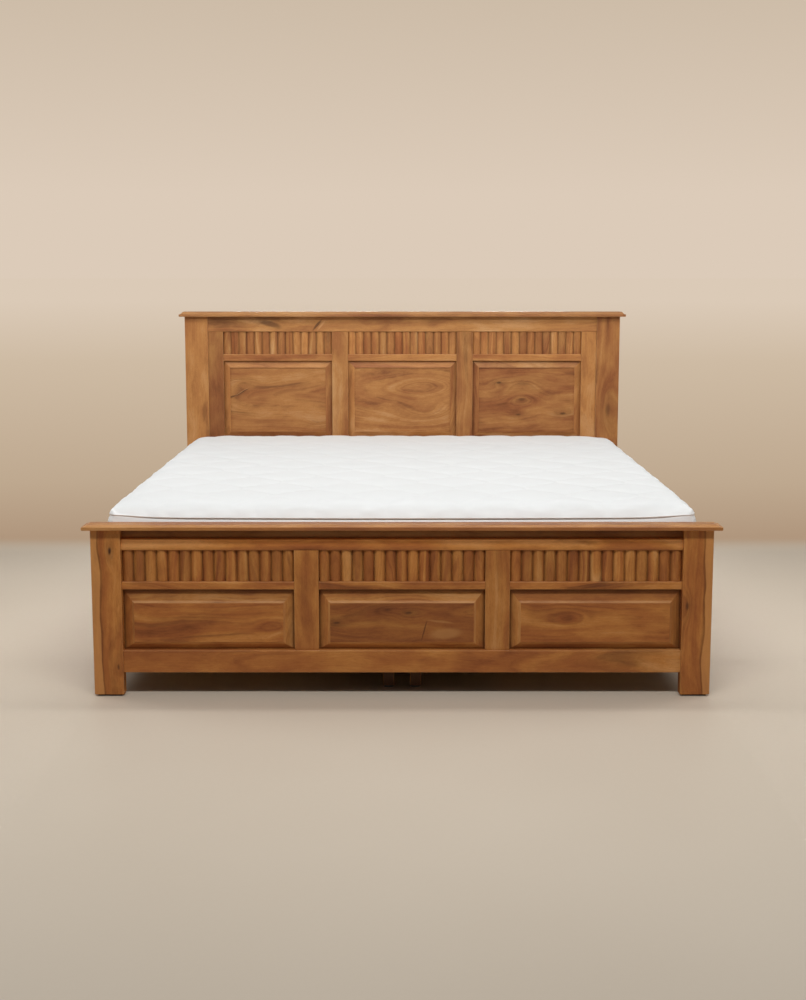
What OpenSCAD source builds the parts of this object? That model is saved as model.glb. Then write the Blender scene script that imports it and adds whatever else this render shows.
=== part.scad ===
// Double bed in solid wood with a reeded and panelled headboard and footboard,
// four side drawers, a slatted base on two centre beams, and a mattress.
// Millimetres. X across the bed, Y from the foot to the head, Z up from the floor.
// The origin is on the floor, under the centre of the bed.

/* [Mattress] */
// Width of the mattress; the bed is built round it
mattress_w = 1800; // [1500:10:1930]
// Length of the mattress
mattress_l = 2000; // [1850:10:2100]
// Thickness at the middle of the crown
mattress_h = 215; // [160:5:260]
// Corner radius in plan, at the border
mattress_r = 30; // [20:5:120]
// How far the sewn edge under the shoulder lies below the crown
seam_drop = 50; // [28:1:60]
// Depth of the sewn edge's groove
seam_in = 8; // [4:1:12]
// Width of the rounded shoulder inside the top edge
shoulder_w = 90; // [40:5:110]
// How far the crown rises from the shoulder to the middle
crown_rise = 10; // [4:1:20]
// Room between the mattress and each side rail
side_room = 6; // [3:1:12]
// Room between the mattress and the headboard's posts
head_room = 10; // [5:1:20]
// Room between the mattress and the footboard's cap
cap_room = 6; // [3:1:15]

/* [Heights of the frame] */
// Underside of the bottom rails above the floor
rail_clear = 73; // [50:1:110]
// Height of the footboard's and the sides' bottom rails
base_rail_h = 69; // [60:1:100]
// Height of the footboard's panels, and of the drawer openings in line with them
foot_panel_h = 188; // [165:1:240]

/* [Posts and feet] */
// Width of the footboard's posts
foot_post_w = 90; // [70:1:110]
// Width of the headboard's posts
head_post_w = 99; // [70:1:115]
// Depth of all posts, front to back
post_d = 42; // [42:1:60]
// Thickness of the glides under the posts and legs
pad_h = 6; // [3:1:12]
// Margin between a glide and the edge of its post
pad_inset = 9; // [4:1:14]
// Chamfer along the edges of posts and rails
ease = 2; // [0.5:0.5:3]

/* [Caps] */
// Overhang of the caps past the posts, on all sides
cap_over = 22; // [18:1:35]
// Thickness of the footboard's cap
foot_cap_h = 16; // [14:1:40]
// Thickness of the headboard's cap
head_cap_h = 21; // [14:1:40]
// Height of the cap's square lower nosing
cap_nose_h = 10; // [8:1:14]
// Ledge between the nosing and the moulding above it
cap_step = 3; // [1:0.5:5]
// How far the cap's moulding reaches in from the nosing
cap_mould = 18; // [10:1:24]

/* [Footboard] */
// Height of the rail between reeds and panels
foot_mid_h = 24; // [18:1:40]
// Height of the reeded panels, foot and head
reed_h = 97; // [70:1:130]
// Height of the top rail
foot_top_h = 35; // [25:1:60]
// Height of the set-back strip under the cap
frieze_h = 31; // [12:1:36]
// Width of the uprights between the panels
foot_muntin_w = 75; // [55:1:90]
// How much narrower the inner openings between the uprights are than the outer ones
inner_cut = 16; // [0:1:40]
// How far the frame lies behind the posts' front face
foot_inset = 14; // [10:1:16]
// How far the bottom rail lies behind the posts' front face
base_inset = 6; // [2:1:8]
// How far the strip under the cap lies behind the posts' front face
frieze_inset = 29; // [24:1:32]

/* [Headboard] */
// Underside of the headboard's panels above the floor
head_panel_z = 565; // [540:1:600]
// Height of the panels
head_panel_h = 337; // [280:1:400]
// Height of the rail under the panels
head_bottom_h = 100; // [70:1:120]
// Height of the rail between panels and reeds
head_mid_h = 29; // [20:1:40]
// Height of the top rail
head_top_h = 65; // [40:1:80]
// Width of the uprights next to the posts
head_stile_w = 65; // [50:1:90]
// Width of the uprights between the panels
head_muntin_w = 70; // [60:1:90]
// How far the frame lies behind the posts' front face
head_inset = 5; // [3:1:8]
// Thickness of the plain panel that closes the head end under the mattress
head_back_t = 16; // [12:1:20]

/* [Panels and reeds] */
// Number of panels across each board
panel_count = 3; // [2:1:4]
// Width of the bevel at the sides of the foot panels and drawer fronts
bevel_side = 27; // [16:1:34]
// Width of the bevel above their field
bevel_top = 36; // [16:1:40]
// Width of the bevel below their field
bevel_low = 17; // [12:1:34]
// Width of the bevel at the sides of the head panels
head_bevel_side = 28; // [12:1:30]
// Width of the bevel above and below in the head panels
head_bevel_top = 29; // [16:1:34]
// Depth of the bevels
bevel_drop = 8; // [4:0.5:9]
// Height of the small step between bevel and field
field_step = 4; // [1:0.5:4]
// Width of the slant on that step
step_run = 7; // [0.5:0.5:8]
// How far the head panels' field lies under the inner edge of its bevels
head_sink = 4; // [1:0.5:6]
// How far a panel lies behind its frame
panel_set = 4; // [2:0.5:5]
// Thickness of the panels
panel_t = 18; // [15:0.5:18]
// Number of reeds in a foot panel
foot_reeds = 15; // [9:1:19]
// Number of reeds in a head panel
head_reeds = 14; // [9:1:19]
// How far a foot reed stands up from its backing
foot_reed_rise = 9; // [5:0.5:11]
// How far a head reed stands up from its backing
head_reed_rise = 6; // [4:0.5:8]
// Flat valley between two reeds
reed_valley = 1.2; // [0.5:0.1:3]
// Thickness of the board behind the reeds
reed_back = 7; // [5:0.5:9]

/* [Sides] */
// How far the side frames lie behind the posts' outer faces
side_inset = 6; // [3:1:12]
// Thickness of the side frames
side_t = 28; // [24:1:30]
// Height of the upper side rails
side_top_h = 90; // [80:1:120]
// Width of the side frames' end stiles
side_stile_w = 60; // [45:1:90]
// Width of the side frames' middle stiles
side_mid_w = 75; // [60:1:110]

/* [Bed base] */
// Height of the slats' top above the upper side rail's lower edge
slat_rise = 43; // [41:1:55]
// Thickness of a slat
slat_t = 18; // [14:1:20]
// Width of a slat
slat_w = 70; // [50:1:90]
// Number of slats on each half
slat_count = 15; // [12:1:17]
// Gap between the end of a slat and the side rail
slat_gap = 2; // [1:0.5:4]
// Gap between the last slat and the posts
slat_end = 24; // [10:1:40]
// Width of the ledgers that carry the slats
ledger_w = 25; // [20:1:35]
// Width of a centre beam and its legs
beam_w = 35; // [30:1:50]
// Height of a centre beam
beam_h = 70; // [60:1:90]
// Distance between the middles of the two centre beams
beam_pitch = 84; // [70:1:110]
// Distance from the posts to the nearest centre leg
leg_end = 60; // [40:1:110]
// Thickness of the dividers that carry the runners
divider_t = 18; // [15:1:22]

/* [Drawers] */
// Gap round a drawer front
front_gap = 3; // [2:0.5:5]
// Thickness of a drawer front
front_t = 22; // [20:1:26]
// Depth of a drawer box, from its front's back face
box_depth = 640; // [560:5:720]
// Height of a drawer box's boards
box_h = 132; // [110:1:135]
// Thickness of a drawer box's boards
box_t = 14; // [11:1:18]
// Thickness of a drawer's bottom
bottom_t = 6; // [4:1:9]
// How far the back board stands above the sides, to meet the stops
back_rise = 15; // [8:1:16]
// Play between a drawer and the dividers beside it
side_play = 3; // [2:0.5:6]
// Height of the runners under a drawer
runner_h = 12; // [8:1:14]
// Width of the runners under a drawer
runner_w = 26; // [20:1:40]
// Clearance between a kicker and the raised back board beside it
kick_clear = 3; // [2:0.5:5]
// Play between a drawer's sides and the kickers above
kick_play = 3; // [2:0.5:5]
// How far a drawer pulls out before it meets its stops
travel = 450; // [350:5:480]
// Length of a stop block
stop_len = 30; // [20:1:50]
// Diameter of a knob
knob_d = 32; // [24:1:36]
// How far a knob stands out
knob_out = 26; // [20:1:27]
// Distance between the two knobs of a drawer
knob_pitch = 460; // [300:10:600]

/* [Rail brackets] */
// Thickness of the steel
bracket_t = 3; // [2:0.5:4]
// Length of each arm
bracket_arm = 40; // [30:1:45]
// Height of a bracket
bracket_h = 36; // [30:1:40]
// Diameter of a screw head
screw_d = 9; // [6:1:12]
// Height of a screw head
screw_h = 2; // [1:0.5:2.5]

/* [Hidden] */

// Clearances that don't show
glue = 0.1;         // glue line between boards of one node
seat = 0.3;         // running gap under drawers and under the mattress
back_set = 2;       // frames lie this far inside the posts' back face
cut = 1;            // how far a cutting solid runs past what it cuts

// Clear length between the posts, and width across their outer faces
inner_len = mattress_l + head_room + cap_over + cap_room;
post_span = mattress_w + 2 * (side_room + side_t + side_inset);

// Places along the bed
foot_face = -inner_len / 2 - post_d;
head_face = inner_len / 2;

// Heights of the footboard and of the sides
base_top = rail_clear + base_rail_h;
foot_panel_top = base_top + foot_panel_h;
foot_mid_top = foot_panel_top + foot_mid_h;
foot_reed_top = foot_mid_top + reed_h;
foot_top_top = foot_reed_top + foot_top_h;
foot_cap_z = foot_top_top + frieze_h;

// Heights of the headboard
head_bottom_z = head_panel_z - head_bottom_h;
head_panel_top = head_panel_z + head_panel_h;
head_mid_top = head_panel_top + head_mid_h;
head_reed_top = head_mid_top + reed_h;
head_cap_z = head_reed_top + head_top_h;

// Clear widths inside the posts, and of one panel
foot_clear = post_span - 2 * foot_post_w;
head_clear = post_span - 2 * head_post_w;
foot_outer_w = (foot_clear - (panel_count - 1) * foot_muntin_w + (panel_count - 2) * inner_cut) / panel_count;
head_field = head_clear - 2 * head_stile_w;
head_panel_w = (head_field - (panel_count - 1) * head_muntin_w) / panel_count;

// Planes of the sides
side_face = post_span / 2 - side_inset;
side_back = side_face - side_t;
front_back = side_face - front_t;

// Bays: two on each side, between an end stile and the middle stile
bay_len = (inner_len - 2 * side_stile_w - side_mid_w) / 2;
bay_y = side_mid_w / 2 + bay_len / 2;

// Bed base
slat_top = foot_panel_top + slat_rise;
slat_z = slat_top - slat_t;
beam_x = beam_pitch / 2;
beam_side = beam_x + beam_w / 2;
beam_z = slat_z - beam_h;

// Drawer box
box_w = bay_len - 2 * side_play;
box_z = base_top + runner_h + seat;
boards_z = box_z + bottom_t;
boards_top = boards_z + box_h;
box_back = front_back - box_depth;
kicker_z = boards_top + kick_play;
kicker_w = side_play + box_t - kick_clear;
stop_x = box_back + box_t + travel + seat;

teak = "#A46A35";
teak_dark = "#8A5628";
teak_light = "#C08A50";
plain_wood = "#D9B98A";
steel = "#8E9196";
black = "#2A2725";
cloth = "#EDEBE6";

// Basic solids

// Box whose four edges along one axis are chamfered
module bar(size, axis = "x") {
    if (axis == "x")
        rotate([90, 0, 90]) linear_extrude(size.x) eased(size.y, size.z);
    else if (axis == "y")
        translate([0, size.y, 0]) rotate([90, 0, 0]) linear_extrude(size.y) eased(size.x, size.z);
    else
        linear_extrude(size.z) eased(size.x, size.y);
}

// Rectangle with small chamfers at its corners
module eased(w, h) {
    polygon([
        [ease, 0], [w - ease, 0], [w, ease], [w, h - ease],
        [w - ease, h], [ease, h], [0, h - ease], [0, ease]
    ]);
}

// Left and right copies of what is modelled on the right
module both_sides() {
    children();
    mirror([1, 0, 0]) children();
}

// Foot and head copies of what is modelled at the head
module both_ends() {
    children();
    mirror([0, 1, 0]) children();
}

// Moves what is modelled on the right to side -1 (left) or 1 (right)
module on_side(side) {
    if (side < 0) mirror([1, 0, 0]) children();
    else children();
}

// Profile across a cap: square nosing, ledge and a moulding that rises to the flat top
module cap_profile(w, h) {
    steps = 8;
    rise = h - cap_nose_h;
    half = [
        for (i = [0:steps])
            [w / 2 - cap_step - (cap_mould - cap_step) * i / steps,
             cap_nose_h + rise * (1 - cos(180 * i / steps)) / 2]
    ];
    edge = concat([[w / 2, ease], [w / 2, cap_nose_h]], half);
    polygon(concat(
        [[w / 2 - ease, 0]], edge,
        [for (i = [len(edge) - 1:-1:0]) [-edge[i].x, edge[i].y]], [[-w / 2 + ease, 0]]
    ));
}

// Cap of thickness h with the same moulding on all four edges, centred on a post's plan
module cap(z, h) {
    length = post_span + 2 * cap_over;
    depth = post_d + 2 * cap_over;
    translate([0, 0, z]) intersection() {
        translate([-length / 2, 0, 0]) rotate([90, 0, 90]) linear_extrude(length) cap_profile(depth, h);
        translate([0, depth / 2, 0]) rotate([90, 0, 0]) linear_extrude(depth) cap_profile(length, h);
    }
}

// Profile of a panel with bevels of widths a and b; depth 0 is its front, and lip the step up to the field
module panel_profile(w, a, b, lip) {
    slant = lip > 0 ? step_run : 0;
    polygon([
        [0, panel_t], [0, lip + bevel_drop], [a, lip], [a + slant, 0],
        [w - b - slant, 0], [w - b, lip], [w, lip + bevel_drop], [w, panel_t]
    ]);
}

// Panel in the XZ plane with its front towards -Y, bevelled on all four edges
module bevelled(w, h, side, low, top, lip) {
    intersection() {
        linear_extrude(h) panel_profile(w, side, side, lip);
        rotate([90, 0, 90]) linear_extrude(w) mirror([1, -1]) panel_profile(h, low, top, lip);
    }
}

// Panel whose field stands a small step above the bevels
module raised_panel(w, h) {
    bevelled(w, h, bevel_side, bevel_low, bevel_top, field_step);
}

// Panel whose field lies below the inner edge of the bevels
module sunk_panel(w, h) {
    difference() {
        bevelled(w, h, head_bevel_side, head_bevel_top, head_bevel_top, 0);
        translate([head_bevel_side, -cut, head_bevel_top])
            cube([w - 2 * head_bevel_side, cut + head_sink, h - 2 * head_bevel_top]);
    }
}

// Board with upright reeds on its front, which is towards -Y
module reed_board(w, count, rise) {
    pitch = w / count;
    chord = pitch - reed_valley;
    r = (chord * chord / 4 + rise * rise) / (2 * rise);
    linear_extrude(reed_h) {
        translate([0, rise]) square([w, reed_back]);
        intersection() {
            square([w, rise]);
            for (i = [0:count - 1]) translate([(i + 0.5) * pitch, r]) circle(r = r, $fn = 96);
        }
    }
}

// Footboard

module foot_post(side) {
    color(teak) translate([side > 0 ? post_span / 2 - foot_post_w : -post_span / 2, foot_face, pad_h])
        bar([foot_post_w, post_d, foot_cap_z - pad_h], "z");
}

module foot_cap() {
    color(teak_light) translate([0, foot_face + post_d / 2, 0]) cap(foot_cap_z, foot_cap_h);
}

// Rail or upright of the footboard, from its left end and underside
module foot_bar(x, z, w, h, inset, axis = "x") {
    translate([x, foot_face + inset, z]) bar([w, post_d - back_set - inset, h], axis);
}

module foot_frieze() {
    color(teak_dark) foot_bar(-foot_clear / 2, foot_top_top, foot_clear, frieze_h, frieze_inset);
}

module foot_top_rail() {
    color(teak) foot_bar(-foot_clear / 2, foot_reed_top, foot_clear, foot_top_h, foot_inset);
}

module foot_bottom_rail() {
    color(teak) foot_bar(-foot_clear / 2, rail_clear, foot_clear, base_rail_h, base_inset);
}

// Width and left edge of panel i, counted from the left
function foot_panel_w(i) = foot_outer_w - (i > 0 && i < panel_count - 1 ? inner_cut : 0);
function foot_panel_x(i) = -foot_clear / 2 + i * (foot_outer_w + foot_muntin_w) - max(i - 1, 0) * inner_cut;
function head_panel_x(i) = -head_field / 2 + i * (head_panel_w + head_muntin_w);

module foot_mid_rails() {
    color(teak) for (i = [0:panel_count - 1])
        foot_bar(foot_panel_x(i), foot_panel_top, foot_panel_w(i), foot_mid_h, foot_inset);
}

module foot_muntins() {
    color(teak) for (i = [0:panel_count - 2])
        foot_bar(foot_panel_x(i) + foot_panel_w(i), base_top, foot_muntin_w,
                 foot_reed_top - base_top, foot_inset, "z");
}

module foot_reeds(i) {
    color(teak_light) translate([foot_panel_x(i), foot_face + foot_inset + panel_set, foot_mid_top])
        reed_board(foot_panel_w(i), foot_reeds, foot_reed_rise);
}

module foot_panel(i) {
    color(teak_light) translate([foot_panel_x(i), foot_face + foot_inset + panel_set, base_top])
        raised_panel(foot_panel_w(i), foot_panel_h);
}

// Headboard

module head_post(side) {
    color(teak) translate([side > 0 ? post_span / 2 - head_post_w : -post_span / 2, head_face, pad_h])
        bar([head_post_w, post_d, head_cap_z - pad_h], "z");
}

module head_cap() {
    color(teak_light) translate([0, head_face + post_d / 2, 0]) cap(head_cap_z, head_cap_h);
}

// Rail or upright of the headboard, from its left end and underside
module head_bar(x, z, w, h, inset, axis = "x") {
    translate([x, head_face + inset, z]) bar([w, post_d - back_set - inset, h], axis);
}

module head_top_rail() {
    color(teak) head_bar(-head_clear / 2, head_reed_top, head_clear, head_top_h, head_inset);
}

module head_bottom_rail() {
    color(teak) head_bar(-head_clear / 2, head_bottom_z, head_clear, head_bottom_h, head_inset);
}

module head_base_rail() {
    color(teak) head_bar(-head_clear / 2, rail_clear, head_clear, base_rail_h, head_inset);
}

module head_back_panel() {
    color(teak_dark) translate([-head_clear / 2, head_face + head_inset + panel_set, base_top])
        cube([head_clear, head_back_t, head_bottom_z - base_top]);
}

module head_mid_rails() {
    color(teak) for (i = [0:panel_count - 1])
        head_bar(head_panel_x(i), head_panel_top, head_panel_w, head_mid_h, head_inset);
}

module head_stiles() {
    color(teak) both_sides()
        head_bar(head_field / 2, head_panel_z, head_stile_w, head_reed_top - head_panel_z, head_inset, "z");
}

module head_muntins() {
    color(teak) for (i = [0:panel_count - 2])
        head_bar(head_panel_x(i) + head_panel_w, head_panel_z, head_muntin_w,
                 head_reed_top - head_panel_z, head_inset, "z");
}

module head_reeds(i) {
    color(teak_light) translate([head_panel_x(i), head_face + head_inset + panel_set, head_mid_top])
        reed_board(head_panel_w, head_reeds, head_reed_rise);
}

module head_panel(i) {
    color(teak_light) translate([head_panel_x(i), head_face + head_inset + panel_set, head_panel_z])
        sunk_panel(head_panel_w, head_panel_h);
}

// Sides

module side_rail(side) {
    color(teak) on_side(side) translate([side_back, -inner_len / 2, foot_panel_top])
        bar([side_t, inner_len, side_top_h], "y");
}

module side_base_rails() {
    color(teak) both_sides() translate([side_back, -inner_len / 2, rail_clear])
        bar([side_t, inner_len, base_rail_h], "y");
}

module side_stiles() {
    color(teak) both_sides() {
        both_ends() translate([side_back, inner_len / 2 - side_stile_w, base_top])
            bar([side_t, side_stile_w, foot_panel_h], "z");
        translate([side_back, -side_mid_w / 2, base_top])
            bar([side_t, side_mid_w, foot_panel_h], "z");
    }
}

// Strips on the upper side rails, under the ends of the slats
module slat_ledgers() {
    color(plain_wood) both_sides() translate([side_back - ledger_w, -inner_len / 2, foot_panel_top])
        bar([ledger_w, inner_len, slat_z - foot_panel_top], "y");
}

// Bed base

module centre_beams() {
    color(teak_dark) both_sides() translate([beam_x - beam_w / 2, -inner_len / 2, beam_z])
        bar([beam_w, inner_len, beam_h], "y");
}

module centre_legs() {
    leg_y = inner_len / 2 - leg_end - beam_w;
    color(teak_dark) both_sides() {
        both_ends() translate([beam_x - beam_w / 2, leg_y, pad_h])
            bar([beam_w, beam_w, beam_z - pad_h], "z");
        translate([beam_x - beam_w / 2, -beam_w / 2, pad_h])
            bar([beam_w, beam_w, beam_z - pad_h], "z");
    }
}

// Boards across each half, flush with the edges of the drawer openings
module drawer_dividers() {
    color(plain_wood) both_sides() both_ends()
        for (y = [bay_y + bay_len / 2, bay_y - bay_len / 2 - divider_t])
            translate([beam_side, y, base_top])
                cube([side_back - beam_side, divider_t, foot_panel_h]);
}

// Copies a strip to both walls of every bay, modelled at the foot-side wall of a bay
module at_bay_walls() {
    both_sides() both_ends() translate([0, bay_y, 0]) both_ends()
        translate([0, -bay_len / 2, 0]) children();
}

// Strips under the drawers' edges
module drawer_runners() {
    color(plain_wood) at_bay_walls() translate([box_back, 0, base_top])
        cube([side_back - box_back, runner_w, runner_h]);
}

// Strips above the drawers' sides, with the stop blocks that end the travel
module drawer_kickers() {
    color(plain_wood) at_bay_walls() {
        translate([box_back, 0, kicker_z])
            cube([side_back - box_back, kicker_w, foot_panel_top - kicker_z]);
        translate([stop_x, kicker_w + glue, kicker_z])
            cube([stop_len, kicker_w, foot_panel_top - kicker_z]);
    }
}

module slats() {
    first = -inner_len / 2 + slat_end;
    pitch = (inner_len - 2 * slat_end - slat_w) / (slat_count - 1);
    start = beam_x - beam_w / 2;
    color(plain_wood) both_sides() for (i = [0:slat_count - 1])
        translate([start, first + i * pitch, slat_z])
            bar([side_back - slat_gap - start, slat_w, slat_t], "x");
}

// Angle plates inside the corners, screwed to the upper side rails and the posts
module rail_brackets() {
    color(steel) both_sides() both_ends()
        translate([side_back, inner_len / 2, slat_top + bracket_t]) {
            translate([-bracket_t, -bracket_arm, 0]) cube([bracket_t, bracket_arm, bracket_h]);
            translate([-bracket_arm, -bracket_t, 0]) cube([bracket_arm, bracket_t, bracket_h]);
            for (z = [bracket_h / 4, bracket_h * 3 / 4]) {
                translate([-bracket_t, -bracket_arm * 2 / 3, z]) rotate([0, -90, 0])
                    cylinder(d = screw_d, h = screw_h, $fn = 32);
                translate([-bracket_arm * 2 / 3, -bracket_t, z]) rotate([90, 0, 0])
                    cylinder(d = screw_d, h = screw_h, $fn = 32);
            }
        }
}

// Thin glides under the four posts and the six centre legs
module glides() {
    color(black) both_sides() {
        translate([post_span / 2 - foot_post_w + pad_inset, foot_face + pad_inset, 0])
            cube([foot_post_w - 2 * pad_inset, post_d - 2 * pad_inset, pad_h]);
        translate([post_span / 2 - head_post_w + pad_inset, head_face + pad_inset, 0])
            cube([head_post_w - 2 * pad_inset, post_d - 2 * pad_inset, pad_h]);
        for (y = [-1, 0, 1] * (inner_len / 2 - leg_end - beam_w / 2))
            translate([beam_x, y, 0]) cylinder(d = beam_w - 2 * ease, h = pad_h, $fn = 48);
    }
}

// Drawers; side is -1 on the left and 1 on the right, end is -1 at the foot and 1 at the head

module drawer_front(side, end) {
    w = bay_len - 2 * front_gap;
    thickness = front_t - panel_t;
    color(teak_light) on_side(side) translate([side_face, end * bay_y - w / 2, base_top + front_gap])
        rotate([0, 0, 90]) {
            raised_panel(w, foot_panel_h - 2 * front_gap);
            translate([0, panel_t, 0]) cube([w, thickness, foot_panel_h - 2 * front_gap]);
        }
}

module drawer_box(side, end) {
    inner = box_w - 2 * box_t - 2 * glue;
    color(plain_wood) on_side(side) translate([0, end * bay_y, boards_z]) {
        both_ends() translate([box_back, box_w / 2 - box_t, 0]) cube([box_depth, box_t, box_h]);
        translate([front_back - box_t, -inner / 2, 0]) cube([box_t, inner, box_h]);
        translate([box_back, -inner / 2, 0]) cube([box_t, inner, box_h + back_rise]);
    }
}

module drawer_bottom(side, end) {
    color(plain_wood) on_side(side) translate([box_back, end * bay_y - box_w / 2, box_z])
        cube([box_depth, box_w, bottom_t]);
}

// Turned knobs: foot, neck and a rounded head
module drawer_knobs(side, end) {
    neck = knob_d * 0.22;
    head = knob_d / 2;
    color(teak_dark) on_side(side)
        translate([side_face, end * bay_y, (base_top + foot_panel_top) / 2])
        for (y = [-1, 1] * knob_pitch / 2) translate([0, y, 0]) rotate([0, 90, 0])
            rotate_extrude($fn = 48) {
                square([head * 0.7, knob_out * 0.15]);
                square([neck, knob_out * 0.6]);
                intersection() {
                    translate([0, knob_out - head * 0.9]) circle(r = head, $fn = 64);
                    translate([0, knob_out * 0.45]) square([head, knob_out * 0.55]);
                }
            }
}

// Mattress

// Height of the sewn edge above the mattress's base
seam_z = mattress_h - seam_drop;

// Corner steps of one ring, and points along the straight sides
ring_k = 6;
side_n = 3;

// Rounded rectangle at a given inset and height; its straight sides carry a few points too
function ring(inset, z) = let (
    a = mattress_w / 2 - inset,
    b = mattress_l / 2 - inset,
    r = min(mattress_r + inset * 0.5, min(a, b) * 0.9),
    turn = [[1, 1, 0], [-1, 1, 90], [-1, -1, 180], [1, -1, 270]],
    arc = [for (t = turn) for (i = [0:ring_k])
        [t[0] * (a - r) + r * cos(t[2] + 90 * i / ring_k), t[1] * (b - r) + r * sin(t[2] + 90 * i / ring_k)]]
) [for (i = [0:len(arc) - 1]) each let (p = arc[i], q = arc[(i + 1) % len(arc)])
    i % (ring_k + 1) < ring_k ? [[p.x, p.y, z]]
        : [for (j = [0:side_n]) [p.x + (q.x - p.x) * j / (side_n + 1), p.y + (q.y - p.y) * j / (side_n + 1), z]]];

// Insets and heights up the side, over the shoulder and across the crown
function shoulder(t) = [shoulder_w * (1 - cos(90 * t)),
    seam_z + 4 + (mattress_h - crown_rise - seam_z - 4) * sin(90 * t)];
function crown(t) = [shoulder_w + (mattress_w * 0.45 - shoulder_w) * t,
    mattress_h - crown_rise * pow(1 - t, 2)];

module mattress() {
    wall = seam_z - 24;
    levels = concat(
        [[14, 0], [5, 7], [6, 12], [1, 24]],
        [for (t = [1:3]) [3 * sin(180 * t / 4), 16 + wall * t / 4]],
        [[2, seam_z - 6], [seam_in, seam_z], [1, seam_z + 4]],
        [for (t = [1:5]) shoulder(t / 5)],
        [for (t = [1:5]) crown(t / 5)]
    );
    rings = [for (l = levels) ring(l[0], l[1])];
    n = len(rings[0]);
    last = len(rings) - 1;
    points = concat([for (r = rings) each r], [[0, 0, 0], [0, 0, mattress_h]]);
    base_point = n * len(rings);
    faces = concat(
        [for (k = [0:last - 1]) for (i = [0:n - 1]) each let (j = (i + 1) % n)
            [[k * n + i, (k + 1) * n + j, k * n + j], [k * n + i, (k + 1) * n + i, (k + 1) * n + j]]],
        [for (i = [0:n - 1]) [base_point, i, (i + 1) % n]],
        [for (i = [0:n - 1]) [base_point + 1, last * n + (i + 1) % n, last * n + i]]
    );
    color(cloth) translate([0, inner_len / 2 - head_room - mattress_l / 2, slat_top + seat])
        polyhedron(points, faces);
}

foot_post(-1);  // foot_post_left
foot_post(1);  // foot_post_right
foot_cap();
foot_frieze();
foot_top_rail();
foot_mid_rails();
foot_bottom_rail();
foot_muntins();
foot_reeds(0);  // foot_reeds_left
foot_reeds(1);  // foot_reeds_centre
foot_reeds(2);  // foot_reeds_right
foot_panel(0);  // foot_panel_left
foot_panel(1);  // foot_panel_centre
foot_panel(2);  // foot_panel_right
head_post(-1);  // head_post_left
head_post(1);  // head_post_right
head_cap();
head_top_rail();
head_mid_rails();
head_bottom_rail();
head_base_rail();
head_back_panel();
head_stiles();
head_muntins();
head_reeds(0);  // head_reeds_left
head_reeds(1);  // head_reeds_centre
head_reeds(2);  // head_reeds_right
head_panel(0);  // head_panel_left
head_panel(1);  // head_panel_centre
head_panel(2);  // head_panel_right
side_rail(-1);  // side_rail_left
side_rail(1);  // side_rail_right
side_base_rails();
side_stiles();
slat_ledgers();
centre_beams();
centre_legs();
drawer_dividers();
drawer_runners();
drawer_kickers();
rail_brackets();
glides();
slats();
drawer_front(-1, -1);  // left_foot_front
drawer_box(-1, -1);  // left_foot_box
drawer_bottom(-1, -1);  // left_foot_bottom
drawer_knobs(-1, -1);  // left_foot_knobs
drawer_front(-1, 1);  // left_head_front
drawer_box(-1, 1);  // left_head_box
drawer_bottom(-1, 1);  // left_head_bottom
drawer_knobs(-1, 1);  // left_head_knobs
drawer_front(1, -1);  // right_foot_front
drawer_box(1, -1);  // right_foot_box
drawer_bottom(1, -1);  // right_foot_bottom
drawer_knobs(1, -1);  // right_foot_knobs
drawer_front(1, 1);  // right_head_front
drawer_box(1, 1);  // right_head_box
drawer_bottom(1, 1);  // right_head_bottom
drawer_knobs(1, 1);  // right_head_knobs
mattress();
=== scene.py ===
"""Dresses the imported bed: wood, metal and glides on the CAD pieces, a sewn mattress, floor, light and camera.

Lengths are in metres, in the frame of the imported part: X across the bed, Y from foot to head, Z up.
"""

import math

import bmesh
import bpy
import numpy as np
from mathutils import Matrix, Vector


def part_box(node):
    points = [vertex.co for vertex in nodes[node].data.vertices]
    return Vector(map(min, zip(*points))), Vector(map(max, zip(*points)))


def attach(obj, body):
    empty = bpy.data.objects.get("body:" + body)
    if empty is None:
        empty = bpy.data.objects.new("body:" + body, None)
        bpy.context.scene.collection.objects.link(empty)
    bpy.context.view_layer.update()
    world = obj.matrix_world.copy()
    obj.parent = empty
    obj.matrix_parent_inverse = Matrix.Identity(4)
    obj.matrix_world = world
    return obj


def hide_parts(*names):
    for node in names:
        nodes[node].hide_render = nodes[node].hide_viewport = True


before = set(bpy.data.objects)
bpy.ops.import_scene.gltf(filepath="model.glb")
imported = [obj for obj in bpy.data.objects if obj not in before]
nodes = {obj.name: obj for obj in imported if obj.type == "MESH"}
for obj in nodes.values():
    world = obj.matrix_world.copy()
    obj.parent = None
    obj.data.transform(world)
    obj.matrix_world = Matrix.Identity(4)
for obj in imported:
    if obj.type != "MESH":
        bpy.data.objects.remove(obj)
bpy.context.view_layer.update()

SEED = 4127


# Colours

def rgb(code):
    """Linear colour with alpha from a hexadecimal sRGB code."""
    parts = [int(code[i:i + 2], 16) / 255 for i in (0, 2, 4)]
    return tuple(p / 12.92 if p <= 0.04045 else ((p + 0.055) / 1.055) ** 2.4 for p in parts) + (1.0,)


HEAD_TEAK = {
    "pale": rgb("C4925F"),
    "gold": rgb("B57D45"),
    "mid": rgb("A66D3C"),
    "red": rgb("965B31"),
    "deep": rgb("75431F"),
    "dark": rgb("3F200D"),
}
# Teak for all but the headboard: a deeper, redder copy of the headboard's teak, painted shade for the shade the
# footboard stands in
FOOT_TEAK_SHADED = {
    "pale": rgb("C28B52"),
    "gold": rgb("B4783B"),
    "mid": rgb("A46631"),
    "red": rgb("925529"),
    "deep": rgb("6E3B19"),
    "dark": rgb("371B0A"),
}
PLAIN = {
    "pale": rgb("E9D2AA"),
    "gold": rgb("E0C394"),
    "mid": rgb("D8B987"),
    "red": rgb("CDA876"),
    "deep": rgb("BC9462"),
    "dark": rgb("8A6238"),
}


# Node building

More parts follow.
